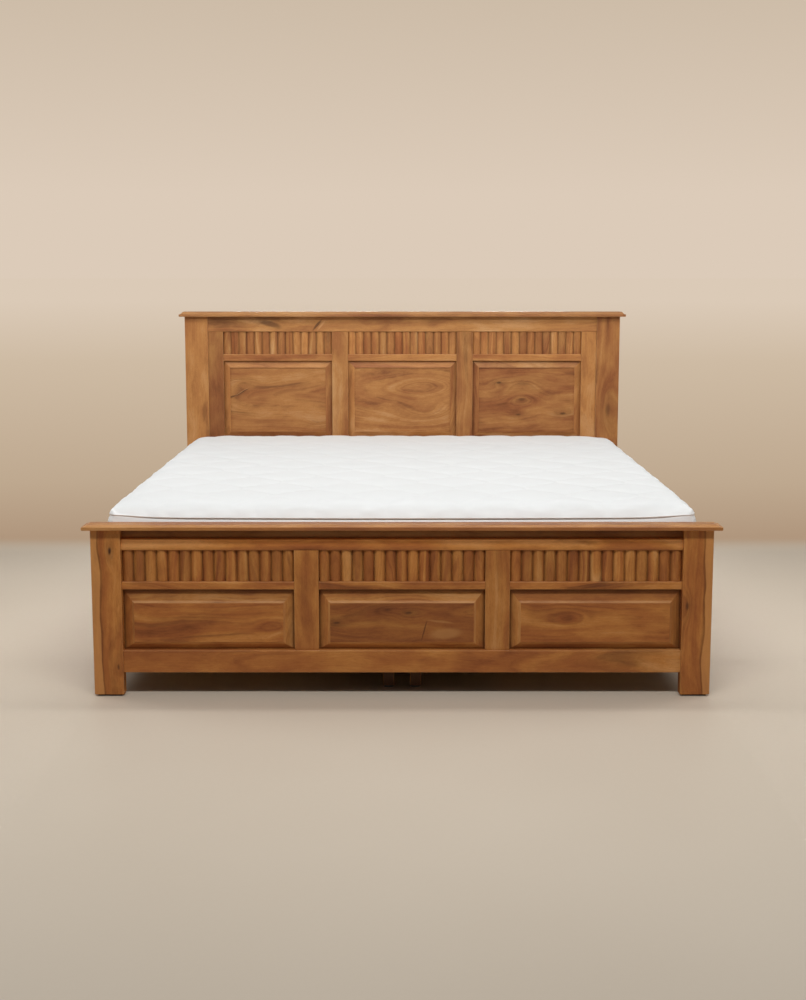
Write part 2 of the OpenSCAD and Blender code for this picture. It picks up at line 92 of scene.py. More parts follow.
class Net:
    """Short calls that build the nodes of one material or of the world."""

    def __init__(self, owner):
        self.owner = owner
        owner.use_nodes = True
        self.tree = owner.node_tree
        self.tree.nodes.clear()

    def node(self, kind, inputs=(), **settings):
        made = self.tree.nodes.new(kind)
        for name, value in settings.items():
            setattr(made, name, value)
        for socket, value in dict(inputs).items():
            if isinstance(value, bpy.types.NodeSocket):
                self.tree.links.new(value, made.inputs[socket])
            else:
                made.inputs[socket].default_value = value
        return made

    def attribute(self, name, output="Vector"):
        return self.node("ShaderNodeAttribute", attribute_name=name).outputs[output]

    def place(self):
        return self.node("ShaderNodeTexCoord").outputs["Object"]

    def split(self, vector):
        return self.node("ShaderNodeSeparateXYZ", {0: vector}).outputs[:]

    def join(self, x=0.0, y=0.0, z=0.0):
        return self.node("ShaderNodeCombineXYZ", {0: x, 1: y, 2: z}).outputs[0]

    def math(self, operation, a, b=0.0):
        return self.node("ShaderNodeMath", {0: a, 1: b}, operation=operation).outputs[0]

    def add(self, a, b):
        return self.math("ADD", a, b)

    def subtract(self, a, b):
        return self.math("SUBTRACT", a, b)

    def multiply(self, a, b):
        return self.math("MULTIPLY", a, b)

    def line(self, value, slope, start):
        """Value times slope plus start."""
        made = self.node("ShaderNodeMath", {0: value, 1: slope, 2: start}, operation="MULTIPLY_ADD")
        return made.outputs[0]

    def largest(self, values):
        best = values[0]
        for value in values[1:]:
            best = self.math("MAXIMUM", best, value)
        return best

    def vector(self, operation, a, b=(0.0, 0.0, 0.0)):
        made = self.node("ShaderNodeVectorMath", {0: a, 1: b}, operation=operation)
        return made.outputs["Value" if operation == "LENGTH" else "Vector"]

    def stretch(self, vector, factors):
        return self.vector("MULTIPLY", vector, factors)

    def noise(self, vector, scale=1.0, detail=2.0, rough=0.5, output="Fac"):
        settings = {"Vector": vector, "Scale": scale, "Detail": detail, "Roughness": rough}
        return self.node("ShaderNodeTexNoise", settings).outputs[output]

    def step(self, value, low, high, start=0.0, end=1.0):
        """Smooth step from start, below low, to end, above high."""
        made = self.node("ShaderNodeMapRange", {0: value, 1: low, 2: high, 3: start, 4: end},
                         interpolation_type="SMOOTHSTEP")
        return made.outputs[0]

    def mix(self, share, a, b, blend="MIX"):
        made = self.node("ShaderNodeMix", {0: share, 6: a, 7: b}, data_type="RGBA", blend_type=blend)
        return made.outputs[2]

    def tint(self, colour, by):
        return self.mix(1.0, colour, by, "MULTIPLY")

    def dim(self, colour, by):
        return self.tint(colour, self.join(by, by, by))

    def ramp(self, value, stops):
        made = self.node("ShaderNodeValToRGB", {0: value})
        elements = made.color_ramp.elements
        elements.remove(elements[1])
        elements[0].position, elements[0].color = stops[0]
        for at, colour in stops[1:]:
            elements.new(at).color = colour
        return made.outputs[0]

    def bump(self, height, strength, distance):
        settings = {"Strength": strength, "Distance": distance, "Height": height}
        return self.node("ShaderNodeBump", settings).outputs[0]

    def seen(self):
        """1 for what the camera, glossy and clear surfaces see, and 0 for all other light."""
        paths = self.node("ShaderNodeLightPath").outputs
        return self.largest([paths["Is Glossy Ray"], paths["Is Transmission Ray"], paths["Is Camera Ray"]])

    def finish(self, colour, roughness, normal, **constants):
        settings = {"Base Color": colour, "Roughness": roughness, "Normal": normal}
        shader = self.node("ShaderNodeBsdfPrincipled", settings)
        for name, value in constants.items():
            shader.inputs[name.replace("_", " ")].default_value = value
        self.node("ShaderNodeOutputMaterial", {0: shader.outputs[0]})
        return self.owner


def new_net(name):
    return Net(bpy.data.materials.new(name))


# Wood

# How often a feature repeats in a metre, along the grain and across it
SLOW_WANDER = (2.1, 5.5, 5.5)
FAST_WANDER = (11.0, 30.0, 30.0)
CLOUDS = (5.0, 13.0, 13.0)
FIBRES = (4.0, 210.0, 210.0)
PORES = (55.0, 1500.0, 1500.0)
BANDS_ALONG = 1.1
STREAKS_ALONG = 0.9

# Late wood lines and dark streaks for each broad band, and how much the bands push the lines about
LINES_PER_BAND = 2.7
STREAKS_PER_BAND = 0.55
LINE_PUSH = 2.4

# How far the fast wander bends the grain
FAST_BEND = 0.009

# Knots are longer along the board, and pull the rings by so many times their size, fading outwards
KNOT_FLATTEN = 0.4
KNOT_FADE = 0.35
KNOT_PULL = 2.0
KNOT_HALO = 0.4

# What each feature adds to the tone of a place, which runs from pale at 0 to deep at 1
TONE_START = 0.46
BAND_TONE = 1.7
CLOUD_TONE = 1.3
FIBRE_TONE = 0.34
LEVEL_TONE = 0.5
TONE_STOPS = {"pale": 0.0, "gold": 0.28, "mid": 0.5, "red": 0.74, "deep": 1.0}

# Where the late wood's line starts and is full in a ring, and where it ends
LATE_RISE = (0.3, 0.88)
LATE_FALL = (0.9, 1.0)

# Offsets that keep the bands and the streaks of each board apart
HUE_TO_BANDS = 9.0
HUE_TO_STREAKS = 5.0

# How much the dark features show at full strength
LATE_SHARE = 0.55
PORE_SHARE = 0.4
SAPWOOD_SHARE = 0.6
SAPWOOD_RIM_SHARE = 0.45
WORN_AND_LIT_SHARE = 0.6

# Tints of the warmest and the coolest boards
WARM = (1.03, 0.985, 0.95, 1.0)
COOL = (0.98, 1.005, 1.03, 1.0)

# How far painted shade darkens the slopes of a moulding, before its depths
SHADED_SLOPE = 0.8

# What pores and clouds add to the roughness, and each feature to the relief, with the relief's height
PORE_ROUGH = 0.18
CLOUD_ROUGH = 0.16
PORE_RELIEF = -0.5
LATE_RELIEF = 0.22
FIBRE_RELIEF = 0.5
WOOD_RELIEF = 0.0005


def bend_grain(net, grain, wild):
    """Grain that wanders slowly along the board and a little over short lengths, and the short bend alone."""
    middle = (0.5, 0.5, 0.5)
    slow = net.noise(net.stretch(grain, SLOW_WANDER), output="Color")
    fast = net.noise(net.stretch(grain, FAST_WANDER), output="Color")
    slow_bend = net.stretch(net.vector("SUBTRACT", slow, middle), (0, wild, wild))
    fast_bend = net.stretch(net.vector("SUBTRACT", fast, middle), (0, FAST_BEND, FAST_BEND))
    return net.vector("ADD", grain, net.vector("ADD", slow_bend, fast_bend)), fast_bend


def pull_rings(net, ring, along, flat, fast_bend, knots):
    """Rings pulled round the knots, and the knots' dark hearts and whorls."""
    hearts, whorls = [], []
    for at, side, size, dark in knots:
        offset = net.join(net.multiply(net.subtract(along, at), KNOT_FLATTEN), net.subtract(flat, side))
        near = net.math("DIVIDE", net.vector("LENGTH", net.vector("ADD", offset, fast_bend)), size)
        pull = net.math("EXPONENT", net.multiply(net.multiply(near, near), -KNOT_FADE))
        ring = net.subtract(ring, net.multiply(pull, KNOT_PULL * size))
        core = net.step(near, 0.15, 0.6, dark, 0.0)
        halo = net.step(near, 0.5, 2.2, KNOT_HALO * dark, 0.0)
        hearts.append(net.add(core, halo))
        whorls.append(pull)
    return ring, net.largest(hearts), net.largest(whorls)


def add_sapwood(net, colour, tones, across, sapwood):
    """Colour with a pale strip of sapwood beyond a dark line."""
    edge, side = sapwood
    inside = net.multiply(net.subtract(across, edge), side)
    colour = net.mix(net.step(inside, 0.0, 0.003, 0.0, SAPWOOD_SHARE), colour, tones["pale"])
    rim = net.multiply(net.step(inside, -0.007, 0.0), net.step(inside, 0.0, 0.003, 1.0, 0.0))
    return net.mix(net.multiply(rim, SAPWOOD_RIM_SHARE), colour, tones["dark"])


def add_marks(net, colour, tones, along, across, marks):
    """Colour with cracks and patches, each a soft-edged ellipse."""
    for at, side, length, width, degrees, dark in marks:
        cosine, sine = math.cos(math.radians(degrees)), math.sin(math.radians(degrees))
        u = net.subtract(along, at)
        v = net.subtract(across, side)
        long_way = net.add(net.multiply(u, cosine / length), net.multiply(v, sine / length))
        wide_way = net.subtract(net.multiply(v, cosine / width), net.multiply(u, sine / width))
        reach = net.vector("LENGTH", net.join(long_way, wide_way))
        share = net.step(reach, 0.5, 1.15, abs(dark), 0.0)
        colour = net.mix(share, colour, tones["dark" if dark > 0 else "pale"])
    return colour


def wood(name, tones, figure=1.0, line=0.5, streaks=0.5, pores=0.5, shade=1.0, rough=0.5, bands=34.0,
         recess=0.42, wild=0.08, specular=0.3, knots=(), sapwood=None, marks=()):
    """Oiled wood cut from a log whose pith runs along the first axis of the attribute grain.

    grain holds, in metres, the place along the board and the two distances from the pith.
    tone holds a board's lightness, its coolness from 0 to 1, and how deep a place lies in a moulding, or -1
    on an edge painted pale, partly as wear and partly as painted highlight.
    knots are (along, across, size, darkness) and sapwood is (edge, side), all measured like grain.
    marks are cracks and patches: (along, across, half length, half width, degrees, darkness), paler below 0.
    """
    net = new_net(name)
    grain = net.attribute("grain")
    level, hue, depth = net.split(net.attribute("tone"))
    along, flat, _ = net.split(grain)
    bent, fast_bend = bend_grain(net, grain, wild)
    _, across, through = net.split(bent)
    ring = net.vector("LENGTH", net.join(0.0, across, through))
    if knots:
        ring, heart, whorl = pull_rings(net, ring, along, flat, fast_bend, knots)

    # Broad bands and thin late wood follow the rings, and clouds lie over them
    layers = net.join(net.multiply(ring, bands), net.multiply(along, BANDS_ALONG),
                      net.multiply(hue, HUE_TO_BANDS))
    band = net.noise(layers, detail=2.5, rough=0.55)
    cloud = net.noise(net.stretch(bent, CLOUDS), detail=4.0, rough=0.62)
    count = net.add(net.multiply(ring, LINES_PER_BAND * bands), net.multiply(band, LINE_PUSH))
    within = net.math("FRACT", count)
    late = net.multiply(net.step(within, *LATE_RISE), net.step(within, *LATE_FALL, 1.0, 0.0))
    drawn = net.step(cloud, 0.4, 0.62)
    if knots:
        drawn = net.math("MAXIMUM", drawn, whorl)
    late = net.multiply(late, drawn)

    # Fibres and pores run along the board
    fibre = net.noise(net.stretch(bent, FIBRES), rough=0.6)
    pore = net.step(net.noise(net.stretch(bent, PORES), detail=1.0), 0.34, 0.46, 1.0, 0.0)

    tone = net.line(net.subtract(band, 0.5), BAND_TONE * figure, TONE_START)
    tone = net.add(tone, net.multiply(net.subtract(cloud, 0.5), CLOUD_TONE * figure))
    tone = net.add(tone, net.multiply(net.subtract(fibre, 0.5), FIBRE_TONE))
    tone = net.add(tone, net.multiply(net.subtract(1.0, level), LEVEL_TONE))
    colour = net.ramp(tone, [(at, tones[key]) for key, at in TONE_STOPS.items()])

    # Dark mineral streaks, late wood, pores, sapwood, knots and marks
    lengths = net.join(net.multiply(ring, STREAKS_PER_BAND * bands), net.multiply(along, STREAKS_ALONG),
                       net.add(hue, HUE_TO_STREAKS))
    streak = net.noise(lengths, detail=3.0, rough=0.6)
    streak = net.multiply(net.step(streak, 0.55, 0.68), net.step(cloud, 0.38, 0.6))
    colour = net.mix(net.multiply(streak, streaks), colour, tones["dark"])
    colour = net.mix(net.multiply(late, LATE_SHARE * line), colour, tones["deep"])
    colour = net.mix(net.multiply(pore, PORE_SHARE * pores), colour, tones["dark"])
    if sapwood:
        colour = add_sapwood(net, colour, tones, across, sapwood)
    if knots:
        colour = net.mix(heart, colour, tones["dark"])
    if marks:
        bent_a_little = net.split(net.vector("ADD", grain, fast_bend))[1]
        colour = add_marks(net, colour, tones, along, bent_a_little, marks)

    # Boards differ in warmth, the depths of mouldings are darkened as painted shade, and edges are painted
    # paler, partly as wear and partly as painted highlight
    colour = net.tint(colour, net.mix(hue, WARM, COOL))
    recess_shade = net.multiply(net.step(depth, 0.25, 0.8, 1.0, SHADED_SLOPE), net.step(depth, 0.72, 1.0, 1.0, recess))
    colour = net.dim(colour, net.multiply(recess_shade, net.multiply(level, shade)))
    # Edges marked -1 are painted pale: partly wear, partly painted highlight where light catches them
    worn_and_lit = net.multiply(net.step(depth, -0.9, -0.1, WORN_AND_LIT_SHARE, 0.0), net.step(cloud, 0.35, 0.6, 1.0, 0.5))
    colour = net.mix(worn_and_lit, colour, tones["pale"])

    roughness = net.add(net.multiply(pore, PORE_ROUGH), net.multiply(cloud, CLOUD_ROUGH))
    roughness = net.add(roughness, rough - 0.1)
    relief = net.add(net.multiply(pore, PORE_RELIEF), net.multiply(late, LATE_RELIEF))
    relief = net.add(relief, net.multiply(fibre, FIBRE_RELIEF))
    return net.finish(colour, roughness, net.bump(relief, 0.5, WOOD_RELIEF), Specular_IOR_Level=specular)


# The boards of a node, and how the grain lies in them

def read_points(mesh):
    """Vertices of a mesh, one row each."""
    co = np.empty(len(mesh.vertices) * 3, np.float32)
    mesh.vertices.foreach_get("co", co)
    return co.reshape(-1, 3).astype(float)


def boards(mesh):
    """Corner coordinates of a mesh, the board that each corner is part of, and its polygon.

    Polygons that meet are one board.
    """
    co = read_points(mesh)
    corner = np.empty(len(mesh.loops), np.int32)
    mesh.loops.foreach_get("vertex_index", corner)
    starts = np.empty(len(mesh.polygons), np.int32)
    mesh.polygons.foreach_get("loop_start", starts)
    totals = np.empty(len(mesh.polygons), np.int32)
    mesh.polygons.foreach_get("loop_total", totals)
    _, welded = np.unique(np.round(co * 1e5).astype(np.int64), axis=0, return_inverse=True)
    welded = welded.ravel()[corner]
    first = np.repeat(welded[starts], totals)
    label = np.arange(welded.max() + 1)
    while True:
        low = np.minimum(label[welded], label[first])
        before = label.copy()
        np.minimum.at(label, welded, low)
        np.minimum.at(label, first, low)
        label = label[label]
        if np.array_equal(before, label):
            break
    polygon = np.repeat(np.arange(len(starts)), totals)
    return co[corner], label[welded], polygon


def face_normals(mesh):
    """Normals of the polygons of a mesh, one row each."""
    normals = np.empty(len(mesh.polygons) * 3, np.float32)
    mesh.polygons.foreach_get("normal", normals)
    return normals.reshape(-1, 3).astype(float)


AXES = {"x": 0, "y": 1, "z": 2}

# How deep the slope from a panel's bevels up to its field reaches
RIDGE = 0.0045

# Lightness and coolness of the boards of some nodes, from left to right
TONES = {
    "foot_post_left": [(1.06, 0.2)],
    "foot_post_right": [(1.01, 0.0)],
    "foot_frieze": [(0.92, 0.3)],
    "foot_top_rail": [(1.24, 0.3)],
    # The foot's top rail is set lighter: painted light against the shadow of the cap above it
    "foot_bottom_rail": [(1.05, 0.3)],
    "foot_mid_rails": [(1.09, 0.4), (1.02, 0.3), (1.06, 0.2)],
    "foot_muntins": [(0.98, 0.4), (0.94, 0.4)],
    "foot_panel_left": [(1.01, 0.0)],
    "foot_panel_centre": [(0.79, 0.1)],
    "foot_panel_right": [(0.98, 0.0)],
    "head_post_left": [(1.02, 0.5)],
    "head_post_right": [(0.92, 0.4)],
    "head_stiles": [(0.84, 0.6), (1.02, 0.3)],
    "head_muntins": [(0.98, 0.7), (0.92, 0.5)],
    "head_panel_left": [(0.99, 0.5)],
    "head_panel_centre": [(1.05, 0.7)],
    "head_panel_right": [(0.96, 0.4)],
    # The legs under the bed are set half as light: painted shade for the shade beneath the bed
    "centre_legs": [(0.5, 0.5)] * 6,
}

# Boards with painted light and shade graded across their height, which reshapes the shade under the foot's cap:
# lightness at the bottom and at the top
PAINTED_LIGHT_FADE = {
    "foot_frieze": (2.2, 0.8),
    "foot_top_rail": (0.72, 1.48),
}

# Share of the boards that are cut flat, and how long the log is that they come from
FLAT_SAWN = 0.6
LOG_LENGTH = 40


def draw_log(rng, width):
    """Where the log's heart lies from a board's middle, how it leans, and the board's place along the log."""
    flat = rng.random() < FLAT_SAWN
    side = rng.choice([-1, 1])
    if flat:
        heart = (rng.uniform(-0.4, 0.4) * width, side * rng.uniform(0.03, 0.09))
        lean = (rng.uniform(-0.03, 0.03), rng.uniform(0.03, 0.09) * rng.choice([-1, 1]))
    else:
        heart = (side * rng.uniform(0.07, 0.2), rng.uniform(-0.08, 0.08))
        lean = (rng.uniform(-0.03, 0.03), rng.uniform(-0.02, 0.02))
    return heart, lean, rng.uniform(0, LOG_LENGTH)


def bevel_groups(normal, axis, sign):
    """1 and 2 on the bevels below and above a panel's field, 3 and 4 on those beside it, and 0 elsewhere."""
    side = 1 - axis
    bevel = (normal[:, axis] * sign > 0.1) & (np.abs(normal[:, axis]) < 0.999)
    beside = np.abs(normal[:, side]) > np.abs(normal[:, 2])
    return np.where(bevel, np.where(beside, 3 + (normal[:, side] > 0), 1 + (normal[:, 2] > 0)), 0)


def lay_grain(name, index, along=None, strips=None, front=None, pith=None, tilt=None, worn_and_lit=True, spread=0.16):
    """Writes the attributes grain and tone on the corners of a CAD node.

    along is the axis of the grain, or else each board's longest. strips is how many sticks lie side by side.
    front is (axis, sign, depth) of a moulded face. pith and tilt fix where the log's heart lies.
    spread is how much the boards differ in lightness.
    """
    mesh = nodes[name].data
    co, label, polygon = boards(mesh)
    normal = face_normals(mesh)[polygon]
    grain = np.zeros((len(co), 3))
    tone = np.zeros((len(co), 3))
    if strips:
        low, high = co[:, 0].min(), co[:, 0].max()
        middle = np.bincount(polygon, co[:, 0]) / np.bincount(polygon)
        label = np.clip(((middle - low) / (high - low) * strips).astype(int), 0, strips - 1)[polygon]
    bevels = np.zeros(len(co), int)
    if front and not strips:
        # The bevels round a panel look like mitred strips: their grain follows the edge they run along
        bevels = bevel_groups(normal, *front[:2])
        label = label * 5 + bevels
    for number, board in enumerate(np.unique(label)):
        rng = np.random.default_rng([SEED, index, number])
        mine = label == board
        low, high = co[mine].min(0), co[mine].max(0)
        size = high - low
        a = AXES[along] if along else int(np.argmax(size))
        if bevels[mine][0] > 2:
            a = AXES["z"]
        rest = [i for i in range(3) if i != a]
        b, c = sorted(rest, key=lambda i: -size[i])
        local = (co[mine] - (low + high) / 2)[:, [a, b, c]]
        heart, lean, shift = draw_log(rng, size[b])
        if pith and number == 0:
            heart, lean, shift = pith, tilt, 0.0
        grain[mine] = np.column_stack([
            local[:, 0] + shift,
            local[:, 1] - heart[0] - lean[0] * local[:, 0],
            local[:, 2] - heart[1] - lean[1] * local[:, 0]])
        level, hue = 1 + spread * (rng.random() - 0.5), rng.random()
        if name in TONES and number < len(TONES[name]):
            level, hue = TONES[name][number]
        if name in PAINTED_LIGHT_FADE:
            # Painted light and shade: the board's lightness is graded by height
            level = level * np.interp(co[mine, 2], (low[2], high[2]), PAINTED_LIGHT_FADE[name])
        tone[mine, 0] = level
        tone[mine, 1] = hue
    if front:
        axis, sign, depth = front
        face = co[:, axis].max() if sign > 0 else co[:, axis].min()
        below = (face - co[:, axis]) * sign
        tone[:, 2] = np.clip(below / depth, 0, 1)
        if not strips:
            # The small slope from the bevels up to the field is painted pale, as a worn edge and as a painted
            # highlight
            deepest = np.zeros(polygon.max() + 1)
            np.maximum.at(deepest, polygon, below)
            tone[(bevels > 0) & (deepest[polygon] < RIDGE), 2] = -1.0
    elif worn_and_lit:
        # Chamfers are marked as pale edges: partly wear, partly painted highlight
        tone[:, 2] = np.where(np.abs(normal).max(1) < 0.9, -1.0, 0.0)
    for key, values in (("grain", grain), ("tone", tone)):
        attribute = mesh.attributes.new(key, "FLOAT_VECTOR", "CORNER")
        attribute.data.foreach_set("vector", values.astype(np.float32).ravel())


LOOKS = {
    "teak_frame": dict(figure=0.9, line=0.4, streaks=0.5),
    "teak_panel": dict(figure=1.1, line=0.6, streaks=0.45),
    "teak_reed": dict(figure=0.85, line=0.5, streaks=0.45, bands=75.0, recess=0.68),
    "teak_cap": dict(figure=0.8, line=0.4, streaks=0.4, rough=0.42, specular=0.5),
    "teak_knob": dict(figure=0.7, streaks=0.4, shade=0.8, rough=0.38),
    # Darkened to 0.45 as painted shade: this slot's pieces include the set-back strip under the foot's cap and
    # the legs under the bed
    "teak_dark": dict(figure=0.7, streaks=0.5, shade=0.45, rough=0.6),
}
# The headboard's mouldings get a lighter painted shade in their depths
HEAD_LOOKS = {slot: dict(look, recess=0.75) for slot, look in LOOKS.items()}
MATERIALS = {
    "plain_wood": wood("plain_wood", PLAIN, figure=0.6, line=0.5, streaks=0.12, pores=0.3, rough=0.6),
    "plywood": wood("plywood", PLAIN, figure=1.0, line=0.3, streaks=0.1, pores=0.3, rough=0.6),
}
for slot, look in LOOKS.items():
    MATERIALS[slot] = wood(slot, FOOT_TEAK_SHADED, **look)
    MATERIALS[slot + "_head"] = wood(slot + "_head", HEAD_TEAK, **HEAD_LOOKS[slot])


# Metal and plastic

def zinc_steel():
    """Zinc-plated steel, a little cloudy and brushed."""
    net = new_net("zinc_steel")
    place = net.place()
    brushed = net.noise(net.stretch(place, (900.0, 900.0, 40.0)))
    bloom = net.noise(place, 130.0, 3.0, 0.6)
    colour = net.mix(bloom, rgb("8F9395"), rgb("BFC2C2"))
    roughness = net.line(brushed, 0.2, 0.28)
    return net.finish(colour, roughness, net.bump(brushed, 0.25, 0.0002), Metallic=1.0)


def glide_plastic():
    """Dark plastic with scuffs."""
    net = new_net("glide_plastic")
    place = net.place()
    speckle = net.noise(place, 900.0)
    scuff = net.noise(net.stretch(place, (40.0, 160.0, 40.0)), detail=3.0, rough=0.6)
    colour = net.mix(net.step(scuff, 0.55, 0.75), rgb("1D1B19"), rgb("3A3733"))
    roughness = net.line(scuff, 0.25, 0.5)
    return net.finish(colour, roughness, net.bump(speckle, 0.4, 0.0003))


# Reeds in a reeded panel, how far they stand up, and the depth of a plain panel's moulding
REEDS = {"foot": 15, "head": 14}
RISE = {"foot": 0.009, "head": 0.006}
MOULDING = {"foot": 0.012, "head": 0.0095}
REED_SPREAD = 0.2

# Boards with a figure of their own: where the log's heart lies and how it leans.
# Knots are (along, across, size, darkness) from the middle of the board, and sapwood is (across, side).
# Marks are (along, across, half length, half width, degrees, darkness).
FIGURED = {
    "head_panel_left": dict(
        pith=(0.02, 0.05), tilt=(0.03, -0.12), figure=0.7,
        knots=[(-0.15, 0.07, 0.014, 0.1), (0.17, -0.1, 0.01, 0.15)],
        marks=[(-0.167, 0.028, 0.045, 0.0035, 27, 0.75), (-0.16, 0.034, 0.04, 0.002, 30, -0.5),
               (-0.205, 0.012, 0.018, 0.004, 20, 0.6)]),
    "head_panel_centre": dict(
        pith=(0.05, -0.01), tilt=(0.02, 0.3), figure=0.8, wild=0.03,
        knots=[(0.1, -0.06, 0.03, 0.0), (0.12, 0.06, 0.03, 0.0)]),
    "head_panel_right": dict(
        pith=(-0.02, 0.04), tilt=(0.05, 0.08),
        knots=[(-0.015, 0.07, 0.026, 0.22), (-0.12, 0.075, 0.011, 0.6), (-0.02, 0.0, 0.014, 0.4),
               (-0.035, -0.065, 0.011, 0.45), (0.16, -0.06, 0.013, 0.55)]),
    "head_post_left": dict(pith=(0.03, 0.06), tilt=(0.02, 0.04), figure=0.7),
    "head_post_right": dict(pith=(0.05, 0.06), tilt=(0.01, 0.05), knots=[(0.14, 0.005, 0.026, 0.4)]),
    "head_top_rail": dict(
        pith=(0.02, 0.07), tilt=(0.005, 0.03),
        marks=[(-0.57, 0.0, 0.055, 0.014, -15, 0.6), (-0.367, -0.002, 0.035, 0.006, 50, 0.7),
               (-0.35, -0.004, 0.03, 0.005, 50, -0.6)]),
    "foot_panel_left": dict(
        pith=(-0.03, 0.05), tilt=(0.02, 0.08), figure=0.9,
        knots=[(0.2, -0.02, 0.012, 0.1)],
        marks=[(0.01, -0.05, 0.13, 0.004, 3, 0.3), (0.2, -0.047, 0.03, 0.005, 22, -0.45),
               (-0.03, 0.0, 0.09, 0.03, 4, 0.14)]),
    "foot_panel_centre": dict(
        pith=(0.02, 0.06), tilt=(0.03, -0.1), figure=0.8,
        knots=[(0.02, 0.02, 0.011, 0.5), (-0.2, -0.01, 0.011, 0.5), (-0.04, 0.03, 0.009, 0.3)],
        marks=[(0.068, -0.033, 0.036, 0.0025, 75, 0.6), (0.133, -0.044, 0.055, 0.02, 3, -0.6),
               (0.115, -0.006, 0.045, 0.004, -8, -0.5)]),
    "foot_panel_right": dict(
        pith=(0.01, 0.07), tilt=(-0.02, 0.05), figure=0.8, wild=0.06, knots=[(-0.08, 0.0, 0.012, 0.15)]),
    "foot_post_left": dict(
        pith=(0.06, 0.05), tilt=(0.0, 0.03), sapwood=(-0.014, -1),
        knots=[(0.19, 0.012, 0.011, 0.7), (-0.17, 0.03, 0.009, 0.5)]),
    "foot_post_right": dict(
        pith=(-0.07, 0.05), tilt=(0.0, 0.03), sapwood=(0.02, 1), knots=[(0.02, -0.03, 0.012, 0.5)]),
}


def from_heart(features, heart, lean):
    """Knots or marks with their places measured from the log's heart."""
    return [(along, across - heart[0] - lean[0] * along, *rest) for along, across, *rest in features]


def figured_wood(name, slot):
    """Material of one board, with its knots, marks and sapwood measured from the log's heart."""
    spec = FIGURED[name]
    at_head = name.startswith("head")
    tones = HEAD_TEAK if at_head else FOOT_TEAK_SHADED
    look = dict((HEAD_LOOKS if at_head else LOOKS)[slot])
    look.update({key: spec[key] for key in ("figure", "wild") if key in spec})
    heart, lean = spec["pith"], spec["tilt"]
    knots = from_heart(spec.get("knots", ()), heart, lean)
    marks = from_heart(spec.get("marks", ()), heart, lean)
    sapwood = spec.get("sapwood")
    if sapwood:
        sapwood = (sapwood[0] - heart[0], sapwood[1])
    return wood(slot + "_" + name, tones, knots=knots, sapwood=sapwood, marks=marks, **look)


for index, name in enumerate(sorted(nodes)):
    mesh = nodes[name].data
    slot = mesh.materials[0].name
    if slot in ("steel", "glide", "mattress_fabric"):
        continue
    end = name.split("_")[0]
    fixed = {key: value for key, value in FIGURED.get(name, {}).items() if key in ("pith", "tilt")}
    if "_reeds_" in name:
        lay_grain(name, index, along="z", strips=REEDS[end], front=(1, -1, RISE[end]), spread=REED_SPREAD)
    elif "_panel_" in name:
        lay_grain(name, index, along="x", front=(1, -1, MOULDING[end]), **fixed)
    elif name.endswith("_front"):
        lay_grain(name, index, along="y", front=(0, -1 if end == "left" else 1, MOULDING["foot"]))
    elif name.endswith("_knobs"):
        lay_grain(name, index, along="x", worn_and_lit=False)
    else:
        lay_grain(name, index, **fixed)
    if name in FIGURED:
        mesh.materials[0] = figured_wood(name, slot)
    elif end == "head" and slot + "_head" in MATERIALS:
        mesh.materials[0] = MATERIALS[slot + "_head"]
    else:
        mesh.materials[0] = MATERIALS[slot]

nodes["rail_brackets"].data.materials[0] = zinc_steel()
nodes["glides"].data.materials[0] = glide_plastic()


# Mattress

LOW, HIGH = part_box("mattress")
CENTRE = (LOW + HIGH) / 2
HALF_W = (HIGH.x - LOW.x) / 2
HALF_L = (HIGH.y - LOW.y) / 2
BASE = LOW.z

# Corner radius in plan, width of the shoulder inside the edge, and height of the crown's middle over the base
CORNER = 0.03
SHOULDER = 0.08
CROWN_TOP = 0.2135

# How much gentler the short sides slope than the long ones
END_SLOPE = 0.5

# How far the corners at the head hang down, and how far that reaches
HEAD_DROOP = 0.022
DROOP_REACH = 0.085

# How far the seam climbs at the corners, how far that reaches, and how much it bows along a side
SEAM_CLIMB = 0.0085
SEAM_CLIMB_REACH = 0.11
SEAM_BOW = 0.003
SEAM_RIM = 0.016

# Repeats of the quilting across and along, and the depth and width of its stitched lines
QUILT_W = 0.23
QUILT_L = 0.30
STITCH_DEPTH = 0.0015
STITCH_WIDTH = 0.0045

# The cover's grid: distances of its outer lines from the edge, and the step between the others
RIM_LINES = (0.0, 0.0022, 0.0048, 0.0078, 0.0112, 0.0155, 0.0215, 0.03, 0.041)
GRID_STEP = 0.0125

# The cloth is held within this of a stitched line, from so far inside the edge, and on the rim itself
HELD_WIDTH = 0.008
HELD_FROM = 0.03
HELD_RIM = 0.004
CLOTH_FRAMES = 20

PUFF_LIMIT = (0.002, 0.002, 0.0055)

# Painted light: the paler white of the sides reaches this far inside the edge, and starts to fade so much
# before
PAINTED_LIGHT_EDGE = 0.03
PAINTED_LIGHT_EDGE_FADE = 0.018

# The edge of the top from the seam inwards, as (inset, height over the base)
EDGE = [
    (0.0, 0.1665), (0.0022, 0.1735), (0.0048, 0.1815), (0.0078, 0.1895), (0.0112, 0.1962), (0.0155, 0.2012),
    (0.0215, 0.2048), (0.0300, 0.2074), (0.0430, 0.2094), (0.0600, 0.2106), (SHOULDER, 0.2114),
]

# Rings below the top, as (inset, height): the roll under the edge, then the sewn groove
SEAM_RINGS = [
    (0.0006, 0.1656), (0.0032, 0.1650), (0.0080, 0.1646), (0.0090, 0.1630), (0.0080, 0.1612),
    (0.0034, 0.1605), (0.0004, 0.1590),
]

